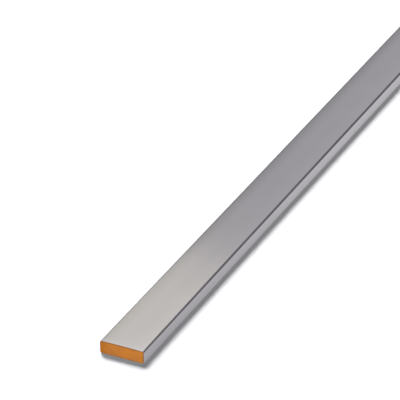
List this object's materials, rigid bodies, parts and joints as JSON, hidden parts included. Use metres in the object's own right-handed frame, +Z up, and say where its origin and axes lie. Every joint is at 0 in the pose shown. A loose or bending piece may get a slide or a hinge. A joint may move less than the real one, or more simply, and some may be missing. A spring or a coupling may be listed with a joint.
{
  "type": "copper busbar",
  "caption": "Flat rectangular copper bar, tinned on its long faces and bare at its square-sawn ends, that carries current between clamped terminals.",
  "frame": {"origin": "middle of the underside, halfway along the bar", "axes": "+X along the bar, +Y across its width, +Z up through its thickness, away from the face that it lies on"},
  "size_m": [1, 0.01, 0.003],
  "materials": {
    "tinned_surface": "satin"
  },
  "bodies": {
    "root": {"busbar": "tinned_surface"}
  },
  "joints": []
}
